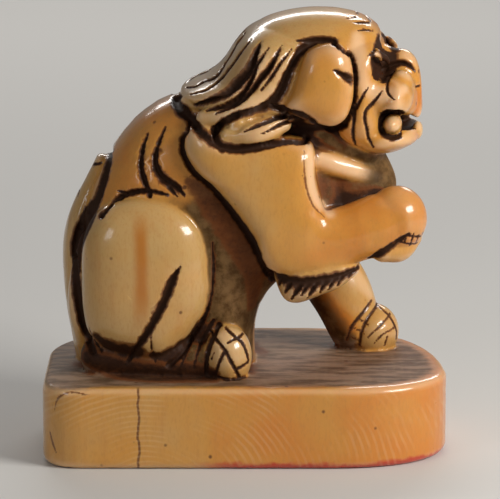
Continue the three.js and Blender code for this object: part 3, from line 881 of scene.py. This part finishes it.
cut_all(left_toes, 0.25, side=1)
# Pale wear with painted highlights on the arm's rim, the lifted paw, the chest ridge and the knee.
brush(wear_and_highlight, arm_rim_highlight)
brush(wear_and_highlight, arm_tip_highlight, 0.15)
brush(wear_and_highlight, ridge_highlight)
brush(wear_and_highlight, knee_highlight, 0.6)
cut_all(hem_lines, 0.1, 0.9, rough=0.7)
cut_all(base_cracks, 0.08, 0.5)
write_points(carving, points - normals * sink[:, None])
print(int((sink > 0.05).sum()), "points are cut in all")

# %% [markdown]
# ## Where stain and shade gather and where hands rub
#
# Stain collects wherever a cloth can't reach, and the darkening painted there also stands in for the shade
# that falls in such places. Two measures find them. The first is how much of the sky a point sees, measured
# with rays on a coarse copy. The second is how the skin curves: where an averaged copy of it lies above the
# real one, the skin is hollow.

# %% Measure the hollows
def sky_share(piece, voxel=0.8, rays=48, reach=7.0, lift=0.25, near_enough=0.1):
    """Returns, for every vertex of piece, the share of short rays that leave it unblocked."""
    select_only(piece)
    bpy.ops.object.duplicate()
    coarse = remesh(bpy.context.object, voxel)
    tree = BVHTree.FromObject(coarse, bpy.context.evaluated_depsgraph_get())
    turn = np.arange(rays) * math.pi * (3 - math.sqrt(5))
    height = np.sqrt((np.arange(rays) + 0.5) / rays)
    flat = np.sqrt(1 - height**2)
    fan = np.column_stack([flat * np.cos(turn), flat * np.sin(turn), height])
    lookup = KDTree(len(coarse.data.vertices))
    shares = []
    for vertex in coarse.data.vertices:
        normal = vertex.normal
        side = normal.orthogonal()
        frame_of_rays = np.array([side, normal.cross(side), normal])
        start = vertex.co + normal * lift
        hits = [tree.ray_cast(start, Vector(way), reach)[0] for way in fan @ frame_of_rays]
        shares.append(hits.count(None) / rays)
        lookup.insert(vertex.co, vertex.index)
    lookup.balance()
    result = np.empty(len(piece.data.vertices))
    for vertex in piece.data.vertices:
        near = lookup.find_n(vertex.co, 3)
        weights = [1 / (distance + near_enough) for _, _, distance in near]
        seen = sum(weight * shares[index] for weight, (_, index, _) in zip(weights, near))
        result[vertex.index] = seen / sum(weights)
    bpy.data.objects.remove(coarse)
    return result


BROAD = 60  # rounds of averaging, which spread over about a millimetre
points = read_points(carving)
normals = read_normals(carving)
edges = neighbours(carving)
sky = averaged(sky_share(carving), edges, rounds=6)
hollowness = ((averaged(points, edges, BROAD) - points) * normals).sum(axis=1)
print("share of the sky", np.percentile(sky, [1, 25, 50, 75, 99]).round(2))
print("hollowness", np.percentile(hollowness, [1, 25, 50, 75, 99]).round(3))

# %% [markdown]
# The measures are mixed with what was painted into four values. *Ink* is the black in lines and creases,
# and it also carries painted shade in deep hollows and behind the arm. *Ground* is the brown that covers
# whole places, made heavier as painted shade where little sky is seen. The third is where the polish broke
# through, together with painted highlights on rubbed edges, and *warmth* is how orange the ivory is. The
# base's top is brown up to a pale rim.

# %% Paint ink, ground and wear, with painted shade and highlights
x, y, z = points.T
warmth = read_values(carving, "warmth")
above = z - base_height
top = ease(0.3, 0.8, normals[:, 2]) * ease(1.1, 0.5, above) * ease(-0.9, -0.3, above)
outline = smooth_curve(base_plan, 600, closed=True)
plan = KDTree(len(outline))
for index, (px, py) in enumerate(outline):
    plan.insert((px, py, 0), index)
plan.balance()
from_rim = np.zeros(len(points))
for index in np.flatnonzero(top > 0):
    from_rim[index] = plan.find((x[index], y[index], 0))[2]
base_ground = top * (0.3 + 0.7 * ease(0.2, 2.2, from_rim) + 0.5 * ease(-12, -17, x))
# Painted shade with the stain: the brown ground grows where little sky is seen.
hidden_stain_and_shade = ease(0.62, 0.25, sky)
ground_and_shade = np.maximum(ground_and_shade, base_ground) * (0.8 + 0.5 * hidden_stain_and_shade)
ground_and_shade = averaged(np.clip(ground_and_shade, 0, 1), edges, rounds=5)
# Ink in hollows that see little sky: stain and painted shade.
crease_stain_and_shade = np.clip(hollowness / 0.10, 0, 1) * ease(0.7, 0.4, sky)
ink_and_shade = np.clip(np.maximum(ink_and_shade, crease_stain_and_shade), 0, 1) * (1 - clean)
# Sharp outer edges: where hands wore the stain off, and a painted highlight.
ridge = ease(0.14, 0.36, -hollowness) * ease(0.5, 0.8, sky)
wear_and_highlight = np.maximum(averaged(wear_and_highlight, edges, rounds=2), 0.7 * ridge)
warmth = averaged(warmth, edges, rounds=12)
for name, values in {"ink_and_shade": ink_and_shade, "ground_and_shade": ground_and_shade, "wear_and_highlight": wear_and_highlight, "warmth": warmth}.items():
    paint(carving, name, values)
    print(f"{name} is over a half on {100 * (values > 0.5).mean():.0f}% of the skin")

# %% [markdown]
# A face polished by hand is never dead flat, so the skin first gets waves of a few thousandths
# of a millimetre. Decimate then merges the needless faces and keeps those in the cuts. Nothing
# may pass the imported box, so points are held inside it. Then the carving shrinks to metres.

# %% Thin the skin and shrink it to metres
WANTED = 190_000  # triangles
UNEVEN = 0.005  # height of each wave


def triangle_count(piece):
    return sum(len(face.vertices) - 2 for face in piece.data.polygons)


points, normals = read_points(carving), read_normals(carving)
x, y, z = points.T
waves = np.sin(3.1 * x + 0.7 * y) + np.sin(2.3 * y - 1.9 * z) + np.sin(2.7 * z + 1.1 * x)
write_points(carving, points + normals * (UNEVEN * waves)[:, None])
triangles = triangle_count(carving)
apply_modifier(carving, "DECIMATE", ratio=WANTED / triangles)
select_only(carving)
bpy.ops.object.shade_smooth()
points = read_points(carving)
write_points(carving, np.clip(points, np.array(cad_low) / MM, np.array(cad_high) / MM))
carving.data.transform(Matrix.Scale(MM, 4))
print(triangles, "triangles became", triangle_count(carving))
print("attributes:", [(a.name, a.domain) for a in carving.data.attributes])

# %% [markdown]
# ## The finish
#
# Old ivory is warm: cream where it was thick and pale, honey and amber where sun and hands
# reached it. A few helpers keep the node code short. Every pattern reads the piece's own
# coordinates in millimetres, or one of the four painted values.

# %% Helpers for nodes
ivory = bpy.data.materials.new("stained_ivory")
ivory.use_nodes = True
nodes, links = ivory.node_tree.nodes, ivory.node_tree.links
nodes.clear()


def node(kind, settings=None, **sockets):
    """Adds a node. A socket is given by its name, or as i0, i1 and so on where names repeat."""
    made = nodes.new("ShaderNode" + kind)
    for name, value in (settings or {}).items():
        setattr(made, name, value)
    for name, value in sockets.items():
        key = int(name[1:]) if name[1:].isdigit() else name.replace("_", " ")
        feed(made.inputs[key], value)
    return made


def feed(socket, value):
    if isinstance(value, bpy.types.Node):
        value = value.outputs[0]
    if isinstance(value, bpy.types.NodeSocket):
        links.new(value, socket)
    else:
        socket.default_value = value


def chained(kind, first, *others):
    for other in others:
        first = node("Math", {"operation": kind}, i0=first, i1=other)
    return first


def sum_of(*values):
    return chained("ADD", *values)


def product(*values):
    return chained("MULTIPLY", *values)


def step_of(value, low, high):
    """0 below low, 1 above high, and a soft run between them."""
    settings = {"interpolation_type": "SMOOTHSTEP"}
    return node("MapRange", settings, Value=value, From_Min=low, From_Max=high)


def blend(factor, under, over):
    made = node("Mix", {"data_type": "RGBA"}, i0=factor)
    feed(made.inputs[6], under)
    feed(made.inputs[7], over)
    return made.outputs[2]


def painted(name):
    return node("Attribute", {"attribute_name": name}).outputs["Fac"]


def noise(scale, detail=3.0, stretch=(1, 1, 1), rough=0.5):
    place = node("Mapping", Vector=millimetres, Scale=stretch)
    return node("TexNoise", Vector=place, Scale=scale, Detail=detail, Roughness=rough)


def wander(pattern, much):
    """Turns a pattern from 0 to 1 into a shift that goes both ways."""
    return product(sum_of(pattern, -0.5), much)


def upright(x, sway, low, high):
    """An upright line at x: full nearer than low, gone past high, and bent by sway."""
    off = node("Math", {"operation": "ABSOLUTE"}, i0=sum_of(at_x, -x, sway))
    return step_of(off, high, low)


object_place = node("TexCoord").outputs["Object"]
millimetres = node("Mapping", Vector=object_place, Scale=(1 / MM, 1 / MM, 1 / MM))
split = node("SeparateXYZ", Vector=millimetres)
at_x, at_y, at_z = split.outputs
print("patterns are measured in millimetres")

# %% [markdown]
# The tusk's colour comes first. Warmth was painted on each form, and soft clouds break it up.
# Thin upright streaks of a darker honey, and a fine grain, follow the growth of the tusk.

# %% Ivory colour
CREAM = (0.56, 0.345, 0.13, 1)
HONEY = (0.62, 0.295, 0.058, 1)
AMBER = (0.62, 0.20, 0.026, 1)
DARK_HONEY = (0.50, 0.20, 0.045, 1)
GRAIN_BROWN = (0.44, 0.20, 0.05, 1)
clouds = noise(0.22)
warm = sum_of(painted("warmth"), wander(clouds, 0.7))
colour = blend(step_of(warm, 0.0, 0.6), CREAM, HONEY)
colour = blend(step_of(warm, 0.5, 1.1), colour, AMBER)
streaks = noise(1.0, 4.0, (1.3, 1.3, 0.12), 0.6)
colour = blend(product(step_of(streaks, 0.5, 0.8), 0.35), colour, DARK_HONEY)
grain = noise(5.0, 3.0, (1, 1, 0.35), 0.6)
colour = blend(product(step_of(grain, 0.45, 0.75), 0.3), colour, GRAIN_BROWN)
print("three tones of ivory")

# %% [markdown]
# Where hands rub most, the patina is worn through and the bare ivory shows pale and pinkish. The same pale
# colour is also laid on as a painted highlight along the temple, the upper lip, the arm's rim, the lifted
# paw, the chest ridge, the knee and the sharpest edges. On the haunch one orange line follows the growth of
# the tusk.

# %% Rubbed edges with painted highlights, and an orange growth line
BARE_IVORY_AND_HIGHLIGHT = (0.88, 0.60, 0.37, 1)
ORANGE = (0.46, 0.15, 0.012, 1)
GROWTH_LINE_X = -9.5
colour = blend(product(painted("wear_and_highlight"), 0.72), colour, BARE_IVORY_AND_HIGHLIGHT)
line = upright(GROWTH_LINE_X, wander(noise(0.35, 1.0), 0.5), 0.1, 1.0)
line_ends = product(step_of(at_z, 11.5, 16.0), step_of(at_z, 23.8, 20.5))
line = product(line, step_of(at_y, -7.5, -8.5), line_ends, 0.85)
colour = blend(line, colour, ORANGE)
print("the growth line stands at x", GROWTH_LINE_X)

# %% [markdown]
# Then the stain, which also carries the painted shade. The broad ground is a mottled brown, greyer and
# paler on top of the base. The ink in the cuts runs from red brown at its edge to nearly black, and noise
# breaks its edge. The same browns and blacks are the painted shade in hollows, under the haunch and behind
# the arm.

# %% Stain and painted shade
DARK_GROUND, PALE_GROUND = (0.022, 0.010, 0.003, 1), (0.15, 0.088, 0.036, 1)
DARK_DUST, PALE_DUST = (0.07, 0.043, 0.030, 1), (0.24, 0.155, 0.105, 1)
RED_INK, BLACK_INK = (0.16, 0.045, 0.010, 1), (0.030, 0.011, 0.005, 1)
mottle = noise(0.8, 5.0, rough=0.65)
washes = noise(0.9, 4.0, (0.3, 1, 1), 0.6)
ground_and_shade_mark = step_of(sum_of(painted("ground_and_shade"), wander(mottle, 0.5)), 0.25, 0.75)
ground_brown = blend(step_of(mottle, 0.35, 0.7), DARK_GROUND, PALE_GROUND)
dust = blend(step_of(washes, 0.36, 0.62), DARK_DUST, PALE_DUST)
ground_brown = blend(step_of(at_z, 9.0, 8.0), ground_brown, dust)
colour = blend(product(ground_and_shade_mark, 0.92), colour, ground_brown)
ragged = noise(2.6, 4.0, rough=0.6)
ink_and_shade_level = sum_of(painted("ink_and_shade"), product(sum_of(ragged, washes, -1.0), 0.4))
colour = blend(product(step_of(ink_and_shade_level, 0.1, 0.45), 0.85), colour, RED_INK)
ink_and_shade_mark = step_of(ink_and_shade_level, 0.4, 0.85)
colour = blend(product(ink_and_shade_mark, 0.96), colour, BLACK_INK)
print("ground and ink are on")

# %% [markdown]
# Small old marks finish the colour: an age crack down the front of the base, a line of red seal
# paste that clings to its lower edge, faint growth rings in the base, and pits here and there.

# %% Crack, seal paste, growth rings and pits
CRACK_X = -9.7
CRACK_BROWN, PIT_BROWN = (0.12, 0.030, 0.006, 1), (0.10, 0.030, 0.008, 1)
SEAL_RED = (0.50, 0.018, 0.014, 1)
PALE_RING = (0.80, 0.60, 0.33, 1)
crack = upright(CRACK_X, wander(noise(0.6, 3.0, (0.1, 0.1, 1)), 0.9), 0.04, 0.17)
crack = product(crack, step_of(at_y, -11.5, -12.2), step_of(at_z, 7.8, 7.3))
colour = blend(product(crack, 0.85), colour, CRACK_BROWN)
paste_height = sum_of(at_z, wander(noise(0.9, 4.0), 1.0))
paste = product(step_of(paste_height, 0.8, 0.3), step_of(at_x, -6.0, 0.0))
colour = blend(product(paste, 0.85), colour, SEAL_RED)
growth = node(
    "TexWave", {"wave_type": "RINGS", "rings_direction": "Y"},
    Vector=node("Mapping", Vector=millimetres, Location=(7, 0, 2), Scale=(0.8, 1, 1.1)),
    Scale=0.6, Distortion=5.0, Detail=3.0, Detail_Scale=0.35,
)
faint = product(step_of(at_z, 7.6, 7.2), step_of(noise(0.25, 2.0), 0.4, 0.7))
rings = product(step_of(growth, 0.4, 1.0), faint, 0.16)
colour = blend(rings, colour, PALE_RING)
cells = node("TexVoronoi", Vector=millimetres, Scale=0.42)
some_cells = step_of(node("SeparateXYZ", Vector=cells.outputs["Color"]), 0.45, 0.5)
pits = product(step_of(cells.outputs["Distance"], 0.11, 0.05), some_cells)
colour = blend(product(pits, 0.8), colour, PIT_BROWN)
print("the crack stands at x", CRACK_X)

# %% [markdown]
# A coat makes the polish, over ivory that lets a little light in. It is bright on the high
# forms and dull in the stain. The bump is slight: soft waves, grain, the ground's roughness, the
# crack and the pits.

# %% Gloss, bump and shader
dull = chained("MAXIMUM", ground_and_shade_mark, ink_and_shade_mark)
roughness = node("MapRange", Value=dull, To_Min=0.3, To_Max=0.6)
roughness = sum_of(roughness, wander(noise(1.5, 4.0), 0.12))
coat = node("MapRange", Value=dull, To_Min=0.75, To_Max=0.0)
relief = sum_of(
    product(noise(0.8), 0.7), product(grain, 0.03), product(mottle, ground_and_shade_mark),
    product(sum_of(crack, pits), -0.8),
)
bump = node("Bump", Strength=0.35, Distance=0.00012, Height=relief)
shader = node(
    "BsdfPrincipled", Base_Color=colour, Roughness=roughness, Normal=bump,
    Subsurface_Weight=0.18, Subsurface_Radius=(1.0, 0.45, 0.18), Subsurface_Scale=0.0012,
    Coat_Weight=coat, Coat_Roughness=0.13, IOR=1.5, Specular_IOR_Level=0.15,
)
output = node("OutputMaterial")
feed(output.inputs["Surface"], shader)
carving.data.materials.clear()
carving.data.materials.append(ivory)
print("the finish has", len(nodes), "nodes")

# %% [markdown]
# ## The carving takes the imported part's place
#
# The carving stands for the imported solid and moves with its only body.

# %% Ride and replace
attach(carving, "root")
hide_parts("netsuke")

# %% [markdown]
# ## Studio
#
# A pale floor, a soft key light from the upper right, a weaker one from the left and a
# long strip above and behind, which draws the bright line along the head and the back.

# %% Floor, lights and camera
bpy.ops.object.select_all(action="DESELECT")
bpy.ops.mesh.primitive_plane_add(size=3)
floor = bpy.context.object
floor.name = "studio_floor"
pale = bpy.data.materials.new("pale_floor")
pale.use_nodes = True
paint_inputs = pale.node_tree.nodes["Principled BSDF"].inputs
paint_inputs["Base Color"].default_value = (0.66, 0.65, 0.63, 1)
paint_inputs["Roughness"].default_value = 0.7
floor.data.materials.append(pale)

AIM = Vector((0.42, -1.35, 18.06)) * MM  # what the camera and the lamps look at
CAMERA_DISTANCE = 0.38
CAMERA_TILT = math.radians(12)
CAMERA_LENS = 295.5


def softbox(name, place, size, power, tint):
    light = bpy.data.lights.new(name, "AREA")
    light.shape = "RECTANGLE"
    light.size, light.size_y = size
    light.energy = power
    light.color = tint
    lamp = bpy.data.objects.new(name, light)
    bpy.context.scene.collection.objects.link(lamp)
    lamp.location = AIM + Vector(place)
    lamp.rotation_euler = (AIM - lamp.location).to_track_quat("-Z", "Y").to_euler()


softbox("key", place=(0.145, -0.09, 0.095), size=(0.09, 0.05), power=0.34, tint=(1.0, 0.97, 0.92))
softbox("fill", place=(-0.26, -0.30, 0.16), size=(0.10, 0.10), power=0.14, tint=(0.94, 0.97, 1.0))
softbox("strip", place=(0.0, 0.34, 0.18), size=(0.34, 0.05), power=0.5, tint=(1.0, 0.98, 0.95))
world = bpy.data.worlds.new("studio")
world.use_nodes = True
sky_inputs = world.node_tree.nodes["Background"].inputs
sky_inputs["Color"].default_value = (1.0, 0.98, 0.95, 1)
sky_inputs["Strength"].default_value = 0.18
bpy.context.scene.world = world
bpy.context.scene.view_settings.view_transform = "Standard"

camera = bpy.data.objects.new("camera", bpy.data.cameras.new("camera"))
bpy.context.scene.collection.objects.link(camera)
camera.location = AIM + CAMERA_DISTANCE * Vector((0, -math.cos(CAMERA_TILT), math.sin(CAMERA_TILT)))
camera.rotation_euler = (math.pi / 2 - CAMERA_TILT, 0, 0)
camera.data.sensor_width = 36
camera.data.lens = CAMERA_LENS
camera.data.clip_start = 0.01
bpy.context.scene.camera = camera
print("the camera stands", CAMERA_DISTANCE, "m away")
